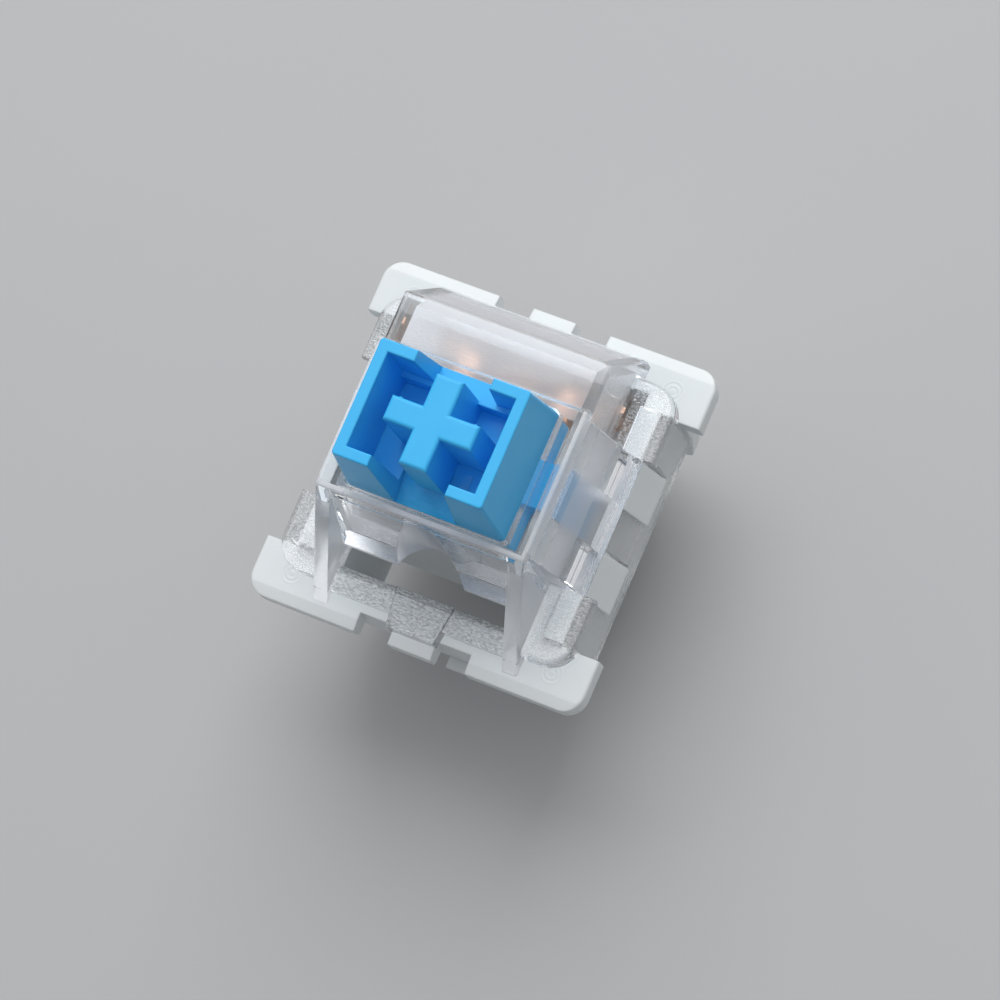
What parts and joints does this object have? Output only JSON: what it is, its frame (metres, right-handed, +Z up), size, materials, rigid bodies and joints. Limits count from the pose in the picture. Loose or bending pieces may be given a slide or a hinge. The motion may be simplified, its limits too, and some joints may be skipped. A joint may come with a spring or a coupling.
{
  "type": "mechanical keyboard switch",
  "caption": "Clicky mechanical key switch with a clear upper housing, milky lower housing, blue cross-shaped stem, click collar, return spring and contact leaf.",
  "frame": {"origin": "centre of the lower housing's underside, where the centre post's axis meets the circuit board", "axes": "+Z up along the key's travel, -Y towards the light window, +Y towards the contacts, +X along the side clips"},
  "size_m": [0.0156, 0.0156, 0.0185],
  "materials": {
    "milky_plastic": "milky white moulding, satin",
    "clear_plastic": "clear polycarbonate, polished with spark-eroded patches",
    "blue_plastic": "sky blue acetal, soft gloss",
    "white_plastic": "white acetal, satin",
    "spring_steel": "drawn wire",
    "contact_copper": "rolled copper alloy strip",
    "contact_gold": "gold alloy"
  },
  "bodies": {
    "housing": {"bottom_housing": "milky_plastic", "top_housing": "clear_plastic", "return_spring": "spring_steel", "fixed_terminal": "contact_copper", "moving_terminal": "contact_copper", "fixed_contact_point": "contact_gold"},
    "stem": {"stem": "blue_plastic"},
    "click_jacket": {"click_jacket": "white_plastic"},
    "leaf": {"contact_leaf": "contact_copper", "moving_contact_point": "contact_gold"}
  },
  "joints": [
    {"name": "stem_press", "type": "slide", "parent": "housing", "child": "stem", "axis": [0, 0, -1], "range_m": [0, 0.004], "stiffness_N_per_m": 75, "springref_m": -0.004, "deforming": ["return_spring"]},
    {"name": "jacket_slide", "type": "slide", "parent": "stem", "child": "click_jacket", "axis": [0, 0, 1], "range_m": [0, 0.0011]},
    {"name": "leaf_flex", "type": "hinge", "parent": "housing", "child": "leaf", "pos_m": [0, 0.00493, 0.0013], "axis": [1, 0, 0], "range_deg": [0, 4.5]}
  ],
  "couplings": [
    {"joint": "leaf_flex", "follows": "stem_press", "rad_per_m": 19.6}
  ]
}
